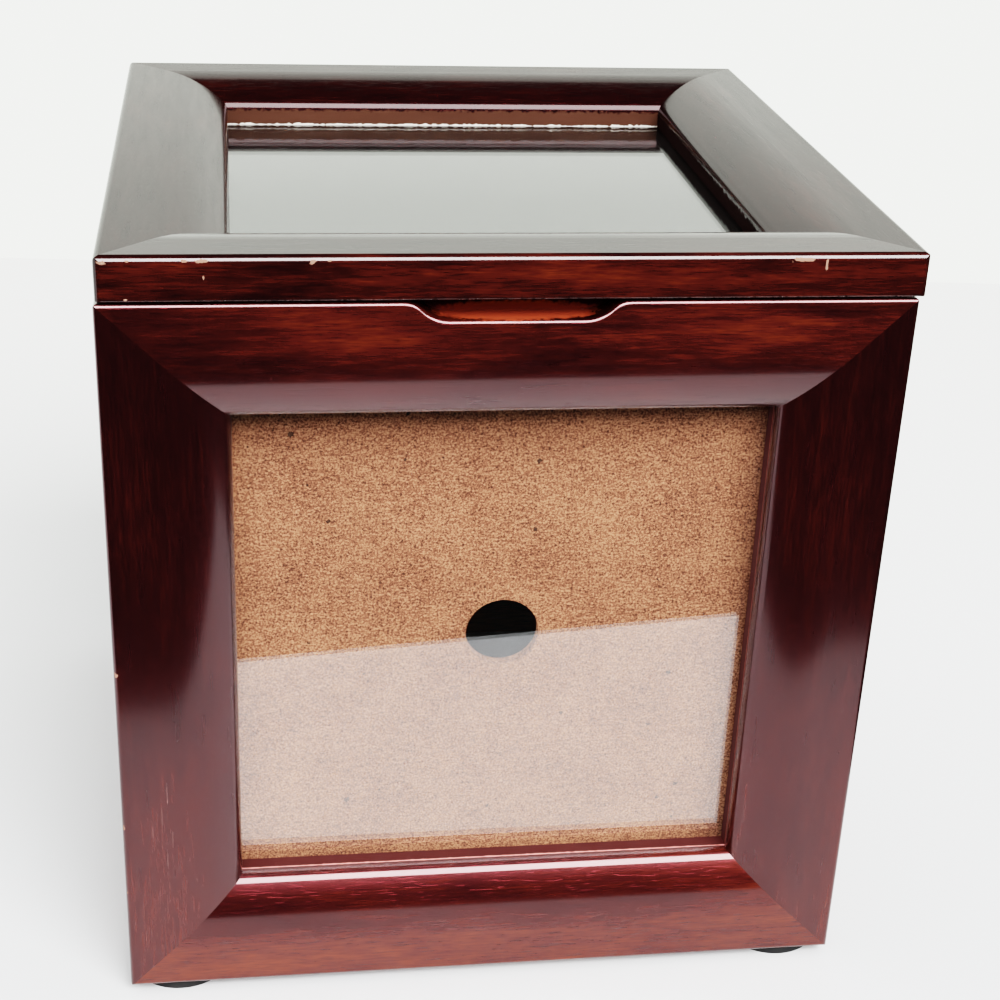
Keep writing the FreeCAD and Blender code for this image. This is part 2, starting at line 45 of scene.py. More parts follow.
# Side frames: sixteen lengths of one hardwood moulding, mitred at the face and at the cube's corners.
# Stained a dark red brown by hand, so the stain pools and thins along the grain, then lacquered to a satin.
# Each length keeps its own grain; the front's outer edges are nicked and its left stile is rubbed.
MM = 0.001
DEEP_STAIN = (0.0052, 0.0010, 0.0012)
DARK_STAIN = (0.0105, 0.0018, 0.0018)
RED_STAIN = (0.0220, 0.0036, 0.0026)
WARM_STAIN = (0.0440, 0.0068, 0.0042)
THIN_STAIN = (0.1100, 0.0210, 0.0065)
PORE_STAIN = (0.0036, 0.0008, 0.0009)
LACQUER_RED = (1.0, 0.15, 0.19)
# Painted highlights: a pale glint line drawn along each sight arris for the lacquer catching the window, and
# a dimmer copy of it for the stiles.
PAINTED_BEAD_GLINT = (0.5200, 0.2000, 0.1750)
PAINTED_STILE_GLINT = (0.1200, 0.0450, 0.0320)
# Sight walls: left raw and unlacquered, and painted near black as the shade in the recess down to the glass.
RAW_WALL_SHADE = (0.0100, 0.0050, 0.0030)
# The scoop's floor: a thin stain on the raw cut, lightened further as painted light where the window reaches
# in under the lid.
SCOOP_STAIN_AND_LIGHT = (0.1900, 0.0330, 0.0080)
RUBBED_WOOD = (0.0600, 0.0270, 0.0240)
BARE_WOOD = (0.2800, 0.1600, 0.1150)
FIGURE_SCALE = (22, 60, 60)
STREAK_SCALE = (60, 620, 620)
FLAME_SCALE = (60, 430, 430)
FIBRE_SCALE = (190, 2700, 2700)
PORE_SCALE = (260, 3000, 3000)
GRIT_SCALE = (1100, 1100, 1100)
FIGURE_SHARE, STREAK_SHARE, FIBRE_SHARE = 0.36, 0.26, 0.36
PORE_STRENGTH = 0.35
BARE_ROUGHNESS = 0.9
LACQUER_BENDING = 1.5
GRAIN_RELIEF = 0.06 * MM
NOISE_LOW, NOISE_HIGH = 0.3, 0.7


def start_material(name):
    """A new material with its node tree, its main shader and the object's own coordinates."""
    material = bpy.data.materials.new(name)
    material.use_nodes = True
    tree = material.node_tree
    place = tree.nodes.new("ShaderNodeTexCoord").outputs["Object"]
    return material, tree, tree.nodes["Principled BSDF"], place


def feed(tree, value, socket):
    """Links a socket to another one, or sets it to a plain value or colour."""
    if isinstance(value, bpy.types.NodeSocket):
        tree.links.new(value, socket)
    elif isinstance(value, tuple) and socket.type == "RGBA":
        socket.default_value = (*value, 1)
    else:
        socket.default_value = value


def stretched(tree, place, scale, shift=(0, 0, 0)):
    mapping = tree.nodes.new("ShaderNodeMapping")
    mapping.inputs["Location"].default_value = shift
    mapping.inputs["Scale"].default_value = scale
    feed(tree, place, mapping.inputs["Vector"])
    return mapping.outputs["Vector"]


def evenly(tree, place, scale, shift=(0, 0, 0)):
    return stretched(tree, place, (scale, scale, scale), shift)


def cloudy(tree, vector, detail=3.0, roughness=0.5, distortion=0.0):
    noise = tree.nodes.new("ShaderNodeTexNoise")
    noise.inputs["Scale"].default_value = 1
    noise.inputs["Detail"].default_value = detail
    noise.inputs["Roughness"].default_value = roughness
    noise.inputs["Distortion"].default_value = distortion
    feed(tree, vector, noise.inputs["Vector"])
    return noise.outputs["Fac"]


def reckon(tree, operation, first, second=0.0):
    step = tree.nodes.new("ShaderNodeMath")
    step.operation = operation
    feed(tree, first, step.inputs[0])
    feed(tree, second, step.inputs[1])
    return step.outputs["Value"]


def weighed(tree, first, share, second):
    """The first pattern by its share, with the second making up the rest."""
    first_part = reckon(tree, "MULTIPLY", first, share)
    second_part = reckon(tree, "MULTIPLY", second, 1 - share)
    return reckon(tree, "ADD", first_part, second_part)


def between(tree, amount, low, high, start=0.0, end=1.0):
    """Maps an amount from the span low to high onto the span start to end."""
    span = tree.nodes.new("ShaderNodeMapRange")
    feed(tree, amount, span.inputs["Value"])
    for name, value in (("From Min", low), ("From Max", high), ("To Min", start), ("To Max", end)):
        feed(tree, value, span.inputs[name])
    return span.outputs["Result"]


def ranged(tree, noise, start, end):
    """Maps the middle span of a noise pattern, where most of it lies, onto the span start to end."""
    return between(tree, noise, NOISE_LOW, NOISE_HIGH, start, end)


def graded(tree, amount, *stops):
    """Colours an amount by a ramp of places and colours."""
    ramp = tree.nodes.new("ShaderNodeValToRGB")
    while len(ramp.color_ramp.elements) < len(stops):
        ramp.color_ramp.elements.new(0.5)
    for element, (place, colour) in zip(ramp.color_ramp.elements, stops):
        element.position = place
        element.color = (*colour, 1)
    feed(tree, amount, ramp.inputs["Fac"])
    return ramp.outputs["Color"]


def tinted(tree, amount, under, over):
    mix = tree.nodes.new("ShaderNodeMix")
    mix.data_type = "RGBA"
    feed(tree, amount, mix.inputs["Factor"])
    feed(tree, under, mix.inputs[6])
    feed(tree, over, mix.inputs[7])
    return mix.outputs[2]


def raised(tree, shader, height, strength, depth):
    bump = tree.nodes.new("ShaderNodeBump")
    bump.inputs["Strength"].default_value = strength
    bump.inputs["Distance"].default_value = depth
    feed(tree, height, bump.inputs["Height"])
    feed(tree, bump.outputs["Normal"], shader.inputs["Normal"])


def split_axes(tree, place):
    split = tree.nodes.new("ShaderNodeSeparateXYZ")
    feed(tree, place, split.inputs[0])
    return split.outputs


def reach_of(tree, place, centre, size, ragged):
    """How far a place lies from a spot's middle, where one is the spot's own rim; all sizes in mm."""
    scale = tuple(1 / (s * MM) for s in size)
    shift = tuple(-c / s for c, s in zip(centre, size))
    reach = tree.nodes.new("ShaderNodeVectorMath")
    reach.operation = "LENGTH"
    feed(tree, stretched(tree, place, scale, shift), reach.inputs[0])
    return reckon(tree, "ADD", reach.outputs["Value"], ragged)


def stained_wood(name, along, shift, lift, glow=(), marks=(), height_tone=None,
                 under_shine=0.36, coat=0.66, dull=0.13):
    """Stained and lacquered wood with its grain along one axis.

    A glow is a middle, half sizes in mm and how much it lifts the tone. A mark is a colour, how ragged
    its rim is, whether lacquer covers it, and its spots, each a middle and half sizes in mm.
    """
    material, tree, shader, place = start_material(name)
    x, y, z = split_axes(tree, place)
    join = tree.nodes.new("ShaderNodeCombineXYZ")
    grain_axes = {"X": (x, y, z), "Y": (y, x, z), "Z": (z, x, y)}
    for value, socket in zip(grain_axes[along], join.inputs):
        feed(tree, value, socket)
    grain = join.outputs[0]
    pore_shift = (shift[1], shift[2], shift[0])
    figure = cloudy(tree, stretched(tree, grain, FIGURE_SCALE, shift), 4, 0.55, 0.5)
    streak = cloudy(tree, stretched(tree, grain, STREAK_SCALE, shift), 3, 0.6)
    fibre = cloudy(tree, stretched(tree, grain, FIBRE_SCALE, shift), 3, 0.7)
    pore = cloudy(tree, stretched(tree, grain, PORE_SCALE, pore_shift), 1)
    tone = lift
    for pattern, share in ((figure, FIGURE_SHARE), (streak, STREAK_SHARE), (fibre, FIBRE_SHARE)):
        tone = reckon(tree, "ADD", tone, between(tree, pattern, 0.0, 1.0, -share / 2, share / 2))
    if height_tone:
        tone = reckon(tree, "ADD", tone, between(tree, z, *height_tone))
    flame = cloudy(tree, stretched(tree, grain, FLAME_SCALE, shift), 5, 0.7)
    flicker = ranged(tree, flame, -0.5, 0.5)
    for centre, size, strength in glow:
        warm = between(tree, reach_of(tree, place, centre, size, flicker), 1.25, 0.1)
        tone = reckon(tree, "ADD", tone, reckon(tree, "MULTIPLY", warm, strength))
    colour = graded(tree, tone, (0.32, DEEP_STAIN), (0.45, DARK_STAIN), (0.55, RED_STAIN),
                    (0.65, WARM_STAIN), (0.82, THIN_STAIN))
    pored = between(tree, pore, 0.62, 0.70)
    colour = tinted(tree, reckon(tree, "MULTIPLY", pored, PORE_STRENGTH), colour, PORE_STAIN)
    gloss = coat
    rough = ranged(tree, streak, 0.28, 0.20)
    grit = cloudy(tree, stretched(tree, place, GRIT_SCALE, shift), 3)
    for bare, raggedness, lacquered, spots in marks:
        ragged = ranged(tree, grit, -raggedness, raggedness)
        for centre, size in spots:
            shown = between(tree, reach_of(tree, place, centre, size, ragged), 1.1, 0.85)
            colour = tinted(tree, shown, colour, bare)
            if not lacquered:
                left_over = between(tree, shown, 0.0, 1.0, 1.0, 0.0)
                gloss = reckon(tree, "MULTIPLY", gloss, left_over)
                rough = reckon(tree, "MAXIMUM", rough, reckon(tree, "MULTIPLY", shown, BARE_ROUGHNESS))
    feed(tree, colour, shader.inputs["Base Color"])
    feed(tree, rough, shader.inputs["Roughness"])
    shader.inputs["Specular IOR Level"].default_value = under_shine
    shader.inputs["Specular Tint"].default_value = (*LACQUER_RED, 1)
    feed(tree, gloss, shader.inputs["Coat Weight"])
    shader.inputs["Coat Roughness"].default_value = dull
    shader.inputs["Coat IOR"].default_value = LACQUER_BENDING
    skin = reckon(tree, "SUBTRACT", reckon(tree, "MULTIPLY", fibre, 0.5), pored)
    raised(tree, shader, skin, 0.30, GRAIN_RELIEF)
    return material


SIDE_GRAIN = {"front": "X", "right": "Y", "back": "X", "left": "Y"}
LIFTS = {"top_rail": 0.50, "bottom_rail": 0.59, "left_stile": 0.43, "right_stile": 0.44}
# Tone by height: the stiles lighten from 75 mm down to 10 mm; the bottom rail is lighter below 10 mm and a
# little darker above 15 mm.
HEIGHT_TONES = {
    "top_rail": None,
    "bottom_rail": (0.0100, 0.0150, 0.115, -0.03),
    "left_stile": (0.075, 0.010, 0.0, 0.15),
    "right_stile": (0.075, 0.010, 0.0, 0.14),
}
SIGHT_EDGES = {"top_rail": (0, 119.9), "bottom_rail": (0, 23.7), "left_stile": (-48.1, 70),
               "right_stile": (48.1, 70)}
EDGE_HALF_HEIGHT = 0.4
# Where the painted glint line runs: on the sight arris just behind the nose.
GLINT_Y, GLINT_HALF_DEPTH, GLINT_REACH = -63.45, 0.18, 200
WALL_Y, WALL_HALF_DEPTH, RAIL_WALL_REACH, STILE_WALL_REACH = -61.2, 3.05, 260, 300
FRONT_GLOWS = {
    "top_rail": [((-24, -70, 136.5), (34, 12, 7.0), 0.17), ((-69, -70, 136), (2.2, 6, 8), 0.20),
                 ((40, -70, 136.5), (34, 12, 6.5), 0.20)],
    "bottom_rail": [((-4, -70, 20), (4.0, 14, 3.0), -0.10)],
}
LEFT_NICKS = [((-70, -70, 72), (0.8, 0.8, 0.45)), ((-70, -70, 39), (0.5, 0.5, 1.1)),
              ((-70, -70, 24), (0.4, 0.4, 0.6))]
LEFT_RUBS = [((-61.5, -70, 46), (0.12, 0.5, 2.0)), ((-62.6, -70, 41), (0.10, 0.5, 2.6)),
             ((-60.8, -70, 36), (0.10, 0.5, 1.8)), ((-61.9, -70, 31), (0.10, 0.5, 2.2)),
             ((-64.4, -70, 38), (0.09, 0.5, 1.6))]
RIGHT_NICKS = [((70, -70, 96), (0.35, 0.35, 0.6))]
# Painted shadow: the scoop's back wall, under the lid's overhang, is drawn in the deepest stain colour and
# left unlacquered.
SCOOP_SHADE = [((0, -64.2, 140.6), (24, 1.6, 2.6))]
# Painted light over a thin stain: the scoop's floor.
SCOOP_FLOOR = [((0, -66.0, 138.4), (15, 3.6, 1.9))]
# The front's marks: painted shade and painted light in the scoop, and real nicks and rubs on the stiles.
FRONT_MARKS = {
    "top_rail": [(DEEP_STAIN, 0.12, False, SCOOP_SHADE), (SCOOP_STAIN_AND_LIGHT, 0.12, False, SCOOP_FLOOR)],
    "left_stile": [(BARE_WOOD, 0.6, False, LEFT_NICKS), (RUBBED_WOOD, 0.6, True, LEFT_RUBS)],
    "right_stile": [(BARE_WOOD, 0.6, False, RIGHT_NICKS)],
}


def sight_strip(member, y, half_depth, reach, quarters):
    """A strip along a member's sight edge, placed on the front and turned to its side by quarter turns."""
    x, z = SIGHT_EDGES[member]
    half_width, half_height = reach, EDGE_HALF_HEIGHT
    if "stile" in member:
        half_width, half_height = EDGE_HALF_HEIGHT, reach
    for _ in range(quarters):
        x, y = -y, x
        half_width, half_depth = half_depth, half_width
    return (x, y, z), (half_width, half_depth, half_height)


for number, side in enumerate(SIDE_GRAIN):
    for step, member in enumerate(LIFTS):
        piece = f"{side}_{member}"
        along, glint_colour, wall_reach = SIDE_GRAIN[side], PAINTED_BEAD_GLINT, RAIL_WALL_REACH
        if "stile" in member:
            along, glint_colour, wall_reach = "Z", PAINTED_STILE_GLINT, STILE_WALL_REACH
        # Painted shade: the sight wall, near black.
        wall = sight_strip(member, WALL_Y, WALL_HALF_DEPTH, wall_reach, number)
        # Painted highlight: the glint line on the sight arris.
        glint_strip = sight_strip(member, GLINT_Y, GLINT_HALF_DEPTH, GLINT_REACH, number)
        marks = [(RAW_WALL_SHADE, 0.06, False, [wall]), (glint_colour, 0.45, True, [glint_strip])]
        glow = ()
        if side == "front":
            marks += FRONT_MARKS.get(member, [])
            glow = FRONT_GLOWS.get(member, ())
        shift = (3.7 * number + 1.3 * step, 5.1 * step + 2.9 * number, 7.3 + 1.7 * number * step)
        nodes[piece].material_slots[0].material = stained_wood(
            f"{piece} wood", along, shift, LIFTS[member], glow, marks, HEIGHT_TONES[member])

# Side panes: four sheets of picture glass, cut square and dropped into the rebates from inside.
# Plain clear float glass with polished faces and a faint smear; lamp light passes straight through it.
SIDE_BENDING = 1.75


def clear_glass(name, bending):
    material, tree, shader, place = start_material(name)
    smear = cloudy(tree, evenly(tree, place, 60), 4, 0.6)
    tint = graded(tree, smear, (0.35, (0.985, 0.99, 0.985)), (0.7, (1, 1, 1)))
    feed(tree, tint, shader.inputs["Base Color"])
    feed(tree, between(tree, smear, 0.55, 0.8, 0.0, 0.02), shader.inputs["Roughness"])
    shader.inputs["IOR"].default_value = bending
    shader.inputs["Transmission Weight"].default_value = 1
    lamp = tree.nodes.new("ShaderNodeLightPath").outputs["Is Shadow Ray"]
    open_way = tree.nodes.new("ShaderNodeBsdfTransparent")
    mix = tree.nodes.new("ShaderNodeMixShader")
    feed(tree, lamp, mix.inputs[0])
    feed(tree, shader.outputs[0], mix.inputs[1])
    feed(tree, open_way.outputs[0], mix.inputs[2])
    feed(tree, mix.outputs[0], tree.nodes["Material Output"].inputs["Surface"])
    return material


picture_glass = clear_glass("picture glass", SIDE_BENDING)
for side in SIDE_GRAIN:
    nodes[f"{side}_glass"].material_slots[0].material = picture_glass

# Backing boards: four loose squares of raw hardboard, each bored with one finger hole to lift it out.
# Pressed wood fibre, tan with darker bark flecks and pale strands; the faces are smooth and dull.
# Nothing fixes them: each is pushed up against the glass from inside and stays by its fit.
TAN_FIBRE = (0.160, 0.060, 0.030)
PALE_FIBRE = (0.326, 0.155, 0.084)
BROWN_FIBRE = (0.040, 0.013, 0.0065)
BARK_FLECK = (0.010, 0.0045, 0.0027)
CLOUD_SCALE, PULP_SCALE, CHIP_SCALE = 70, 2500, 290
STRAND_SCALE = (600, 2300, 2300)
PULP_SHARE = 0.75
FLECK_RARITY, FLECK_SIZE, FLECK_STRENGTH = 0.70, 0.16, 0.85
PULP_RELIEF = 0.12 * MM


def hardboard(name, shift):
    material, tree, shader, place = start_material(name)
    cloud = cloudy(tree, evenly(tree, place, CLOUD_SCALE, shift), 3)
    pulp = cloudy(tree, evenly(tree, place, PULP_SCALE, shift), 4, 0.7, 0.35)
    strand = cloudy(tree, stretched(tree, place, STRAND_SCALE, shift), 2, 0.6, 1.2)
    tone = weighed(tree, pulp, PULP_SHARE, strand)
    tone = reckon(tree, "ADD", tone, ranged(tree, cloud, -0.02, 0.02))
    colour = graded(tree, tone, (0.39, BROWN_FIBRE), (0.49, TAN_FIBRE), (0.60, PALE_FIBRE))
    chip = tree.nodes.new("ShaderNodeTexVoronoi")
    chip.inputs["Scale"].default_value = 1
    chip.inputs["Randomness"].default_value = 1
    feed(tree, evenly(tree, place, CHIP_SCALE, shift), chip.inputs["Vector"])
    rare = tree.nodes.new("ShaderNodeSeparateColor")
    feed(tree, chip.outputs["Color"], rare.inputs[0])
    size = between(tree, rare.outputs[0], FLECK_RARITY, 1.0, 0.0, FLECK_SIZE)
    near = reckon(tree, "ADD", chip.outputs["Distance"], ranged(tree, pulp, -0.05, 0.05))
    fleck = reckon(tree, "MULTIPLY", reckon(tree, "LESS_THAN", near, size), FLECK_STRENGTH)
    feed(tree, tinted(tree, fleck, colour, BARK_FLECK), shader.inputs["Base Color"])
    feed(tree, ranged(tree, pulp, 0.95, 0.8), shader.inputs["Roughness"])
    shader.inputs["Specular IOR Level"].default_value = 0.1
    raised(tree, shader, pulp, 0.35, PULP_RELIEF)
    return material


for number, side in enumerate(SIDE_GRAIN):
    nodes[f"{side}_backing_board"].material_slots[0].material = hardboard(
        f"{side} hardboard", (2.3 * number, 1.1 + 3.1 * number, 4.7))

# Bottom panel: a square of thin plywood held in the rebates of the bottom rails.
# Stained to match the frames but left flat, so the grain shows more and it hardly shines.
PANEL_DARK = (0.011, 0.0030, 0.0024)
PANEL_RED = (0.030, 0.0080, 0.0048)
PLY_SCALE = (30, 420, 420)
PLY_FINE_SCALE = (240, 3000, 3000)
PLY_SHARE = 0.7
FINE_RELIEF = 0.1 * MM
material, tree, shader, place = start_material("bottom panel stain")
ply = cloudy(tree, stretched(tree, place, PLY_SCALE), 4, 0.6, 0.3)
fine = cloudy(tree, stretched(tree, place, PLY_FINE_SCALE), 2)
colour = graded(tree, weighed(tree, ply, PLY_SHARE, fine), (0.38, PANEL_DARK), (0.62, PANEL_RED))
feed(tree, colour, shader.inputs["Base Color"])
feed(tree, ranged(tree, ply, 0.7, 0.5), shader.inputs["Roughness"])
raised(tree, shader, fine, 0.3, FINE_RELIEF)
nodes["bottom_panel"].material_slots[0].material = material

# Floor lining: one square of black craft felt, cut by hand and laid on the bottom panel.
# Matted wool and rayon, under a millimetre thick; the cut edge is soft and the face very slightly uneven.
FELT_SIDE = 0.1110
FELT_SQUARES = 90
FELT_THICKNESS = 0.8 * MM
FELT_LIFT = 0.05 * MM
FELT_SWELL = 0.22 * MM
SWELL_SHARE = 0.4
CUT_WANDER = 0.18 * MM
CUT_ROUNDING = 0.25 * MM
FELT_DARK = (0.0035, 0.0035, 0.0037)
FELT_PALE = (0.018, 0.017, 0.018)
HAIR_SCALE, MATTED_SCALE, HAIR_SHARE = 2600, 260, 0.6
HAIR_RELIEF = 0.3 * MM
felt_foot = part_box("floor_lining")[0].z
bpy.ops.mesh.primitive_grid_add(x_subdivisions=FELT_SQUARES, y_subdivisions=FELT_SQUARES, size=FELT_SIDE,
                                location=(0, 0, felt_foot))
felt = bpy.context.object
felt.name = "felt_lining"
bpy.ops.object.transform_apply(location=True, rotation=False, scale=False)
for point in felt.data.vertices:
    place = point.co
    across = math.sin(place.x * 310 + 1.3 * math.sin(place.y * 170))
    swell = FELT_SWELL * across * math.sin(place.y * 260 + 0.7)
    if max(abs(place.x), abs(place.y)) > FELT_SIDE / 2 - 1e-5:
        place.x += CUT_WANDER * math.sin(place.y * 420)
        place.y += CUT_WANDER * math.sin(place.x * 390 + 0.8)
    place.z += FELT_LIFT + abs(swell) * SWELL_SHARE
bpy.ops.object.modifier_add(type="SOLIDIFY")
felt.modifiers[-1].thickness = FELT_THICKNESS
felt.modifiers[-1].offset = 1
bpy.ops.object.modifier_apply(modifier=felt.modifiers[-1].name)
bpy.ops.object.modifier_add(type="BEVEL")
felt.modifiers[-1].width = CUT_ROUNDING
felt.modifiers[-1].segments = 2
felt.modifiers[-1].angle_limit = math.radians(60)
bpy.ops.object.modifier_apply(modifier=felt.modifiers[-1].name)
bpy.ops.object.shade_smooth_by_angle(angle=math.radians(40))
material, tree, shader, place = start_material("black felt")
hair = cloudy(tree, evenly(tree, place, HAIR_SCALE), 3, 0.7, 1.5)
matted = cloudy(tree, evenly(tree, place, MATTED_SCALE), 3)
colour = graded(tree, weighed(tree, hair, HAIR_SHARE, matted), (0.35, FELT_DARK), (0.66, FELT_PALE))
feed(tree, colour, shader.inputs["Base Color"])
feed(tree, ranged(tree, hair, 1.0, 0.85), shader.inputs["Roughness"])
shader.inputs["Specular IOR Level"].default_value = 0.1
shader.inputs["Sheen Weight"].default_value = 0.25
shader.inputs["Sheen Roughness"].default_value = 0.6
raised(tree, shader, hair, 0.8, HAIR_RELIEF)
felt.data.materials.append(material)
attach(felt, "body")
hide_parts("floor_lining")

# Feet: four round self-stick pads of moulded black rubber, pressed on under the corners.
# The skin is dull and a little dusty, and the pads lift the wood just clear of the table.
RUBBER_BLACK = (0.004, 0.004, 0.0045)
RUBBER_DUSTY = (0.013, 0.0125, 0.012)
SKIN_SCALE, DUST_SCALE = 1800, 220
material, tree, shader, place = start_material("foot rubber")
skin = cloudy(tree, evenly(tree, place, SKIN_SCALE), 3)
dust = cloudy(tree, evenly(tree, place, DUST_SCALE), 3, 0.6)
feed(tree, graded(tree, dust, (0.4, RUBBER_BLACK), (0.7, RUBBER_DUSTY)), shader.inputs["Base Color"])
feed(tree, ranged(tree, dust, 0.75, 0.95), shader.inputs["Roughness"])
shader.inputs["Specular IOR Level"].default_value = 0.2
raised(tree, shader, skin, 0.3, FINE_RELIEF)
for corner in ("front_left", "front_right", "back_left", "back_right"):
    nodes[f"{corner}_foot"].material_slots[0].material = material

# Lid frame: four more lengths of the same moulding, laid flat and mitred, with a tongue inside the body.
# Stained and lacquered as the sides are, but darker on top; the sight wall at the back is thin and brown.
# Its front edge takes the knocks, so the lacquer is chipped through to bare wood there.
EDGE_BROWN = (0.052, 0.025, 0.016)
# Painted shade: the lid's underside and its front and side sight walls are near black and unlacquered, for
# the shade under the lid and in the recess by the glass.
SHADE_BLACK = (0.006, 0.003, 0.0024)
# Dust with a painted glint: a near-white line at the foot of the back sight wall, where it meets the glass.
DUST_AND_GLINT_WHITE = (0.72, 0.69, 0.62)
LID_LIFT, LID_UNDER_SHINE, LID_DULL = 0.42, 0.05, 0.10
LID_COATS = {"front": 0.72, "back": 0.265, "left": 0.38, "right": 0.39}
LID_GLOWS = {"front": [((0.65, -70.4, 146.0), (110, 1.4, 6.5), 0.24)]}
LID_CHIPS = [((-68.2, -70.3, 149.0), (0.85, 0.7, 0.34)), ((-64.2, -70.3, 149.25), (0.35, 0.6, 0.2)),
             ((-52.3, -70.3, 149.2), (0.9, 0.6, 0.25)), ((-55.0, -70.3, 149.25), (0.5, 0.5, 0.18)),
             ((-34.5, -70.3, 149.1), (0.55, 0.6, 0.38)), ((-31.6, -70.3, 149.2), (0.35, 0.5, 0.2)),
             ((48.0, -70.3, 149.0), (1.9, 0.6, 0.34)), ((52.4, -70.3, 148.2), (0.2, 0.5, 0.8)),
             ((-64.6, -70.3, 142.7), (0.3, 0.4, 0.2)), ((-52.0, -70.3, 146.4), (0.14, 0.4, 0.5))]
# Where the painted shade lies: the underside and the front, left and right sight walls.
UNDERSIDE = [((0, 0, 138.7), (300, 300, 3.6))]
FRONT_WALL = [((0.65, -48.4, 142.4), (300, 0.5, 1.9))]
BACK_WALL = [((0.65, 48.4, 142.6), (300, 0.5, 2.0))]
# Where the dust and painted glint lie: the foot of the back sight wall.
BACK_DUST_AND_GLINT = [((0.65, 48.4, 141.25), (300, 0.5, 0.29))]
LEFT_WALL = [((-47.75, 0, 142.4), (0.5, 300, 1.9))]
RIGHT_WALL = [((49.05, 0, 142.4), (0.5, 300, 1.9))]
LID_MARKS = {
    "front": [(SHADE_BLACK, 0.2, False, FRONT_WALL), (BARE_WOOD, 0.7, False, LID_CHIPS)],
    "back": [(EDGE_BROWN, 0.2, False, BACK_WALL), (DUST_AND_GLINT_WHITE, 0.9, False, BACK_DUST_AND_GLINT)],
    "left": [(SHADE_BLACK, 0.2, False, LEFT_WALL)],
    "right": [(SHADE_BLACK, 0.2, False, RIGHT_WALL)],
}
for number, side in enumerate(("front", "back", "left", "right")):
    piece = f"lid_{side}_rail"
    shift = (11.3 + 2.7 * number, 4.1 * number, 9.9 - 1.9 * number)
    marks = [(SHADE_BLACK, 0.2, False, UNDERSIDE)] + LID_MARKS[side]
    nodes[piece].material_slots[0].material = stained_wood(
        f"{piece} wood", SIDE_GRAIN[side], shift, LID_LIFT, LID_GLOWS.get(side, ()), marks,
        under_shine=LID_UNDER_SHINE, coat=LID_COATS[side], dull=LID_DULL)

# Lid pane and its board: a sheet of clear glass in the lid's rebate, over a square of black card-faced board.
# The board is smooth and dull black, with a faint paper fibre and a little dust under the glass.
LID_BENDING = 1.5
CARD_BLACK = (0.0020, 0.0020, 0.0019)
CARD_DUSTY = (0.0060, 0.0058, 0.0054)
PAPER_SCALE, DUSTY_SCALE, PAPER_SHARE = 1500, 45, 0.6
nodes["lid_glass"].material_slots[0].material = clear_glass("lid glass", LID_BENDING)
material, tree, shader, place = start_material("black card")
paper = cloudy(tree, evenly(tree, place, PAPER_SCALE), 3, 0.7)
dusty = cloudy(tree, evenly(tree, place, DUSTY_SCALE), 4)
colour = graded(tree, weighed(tree, paper, PAPER_SHARE, dusty), (0.36, CARD_BLACK), (0.66, CARD_DUSTY))
feed(tree, colour, shader.inputs["Base Color"])
feed(tree, ranged(tree, paper, 1.0, 0.9), shader.inputs["Roughness"])
shader.inputs["Specular IOR Level"].default_value = 0.02
raised(tree, shader, paper, 0.25, FINE_RELIEF)
nodes["lid_backing_board"].material_slots[0].material = material

# Hinges: two small butt hinges of pressed brass, let into the back rails, each with a drawn brass pin.
# The brass is bare, brushed along the leaves and tarnished in patches.
# Eight small countersunk brass screws hold the leaves, four up into the lid and four down into the body.
BRIGHT_BRASS = (0.62, 0.42, 0.16)
TARNISH = (0.30, 0.17, 0.06)
BRUSH_SCALE = (160, 5200, 5200)
TARNISH_SCALE = 330
BRUSH_SHARE = 0.16
BRUSH_RELIEF = 0.05 * MM
SCREW_PLACES = [(-45.5, 61.9), (-30.5, 61.9), (30.5, 61.9), (45.5, 61.9)]
SCREW_TOP = {"body": 141.77 * MM, "lid": 142.28 * MM}
HEAD_RADIUS, HEAD_DEPTH = 1.86 * MM, 0.92 * MM
SHANK_RADIUS, SCREW_LENGTH = 0.98 * MM, 6.4 * MM
POINT_LENGTH, POINT_SHARE = 1.6 * MM, 0.12
SLOT_WIDTH, SLOT_DEPTH = 0.5 * MM, 0.4 * MM
SAME_PLACE = 1e-6


def worn_brass(name, shift):
    material, tree, shader, place = start_material(name)
    brushed = cloudy(tree, stretched(tree, place, BRUSH_SCALE, shift), 2)
    stain = cloudy(tree, evenly(tree, place, TARNISH_SCALE, shift), 4, 0.6)
    feed(tree, graded(tree, stain, (0.30, TARNISH), (0.64, BRIGHT_BRASS)), shader.inputs["Base Color"])
    shader.inputs["Metallic"].default_value = 1
    brushing = reckon(tree, "MULTIPLY", brushed, BRUSH_SHARE)
    feed(tree, reckon(tree, "ADD", ranged(tree, stain, 0.36, 0.16), brushing), shader.inputs["Roughness"])
    raised(tree, shader, brushed, 0.2, BRUSH_RELIEF)
    return material


def pick_faces(obj, wanted):
    """Selects the faces that a test of their middle and normal wants, and stays in edit mode."""
    bpy.ops.object.mode_set(mode="EDIT")
    bpy.ops.mesh.select_mode(type="FACE")
    bpy.ops.mesh.select_all(action="DESELECT")
    bpy.ops.object.mode_set(mode="OBJECT")
    for face in obj.data.polygons:
        face.select = wanted(face.center, face.normal)
    bpy.ops.object.mode_set(mode="EDIT")


def draw_out(depth):
    """Extrudes the picked faces straight down."""
    bpy.ops.mesh.extrude_region_move(TRANSFORM_OT_translate={"value": (0, 0, -depth)})


def narrow_to(share, z):
    """Draws the picked faces in towards the upright axis at a height."""
    bpy.ops.transform.resize(value=(share, share, 1), center_override=(0, 0, z))


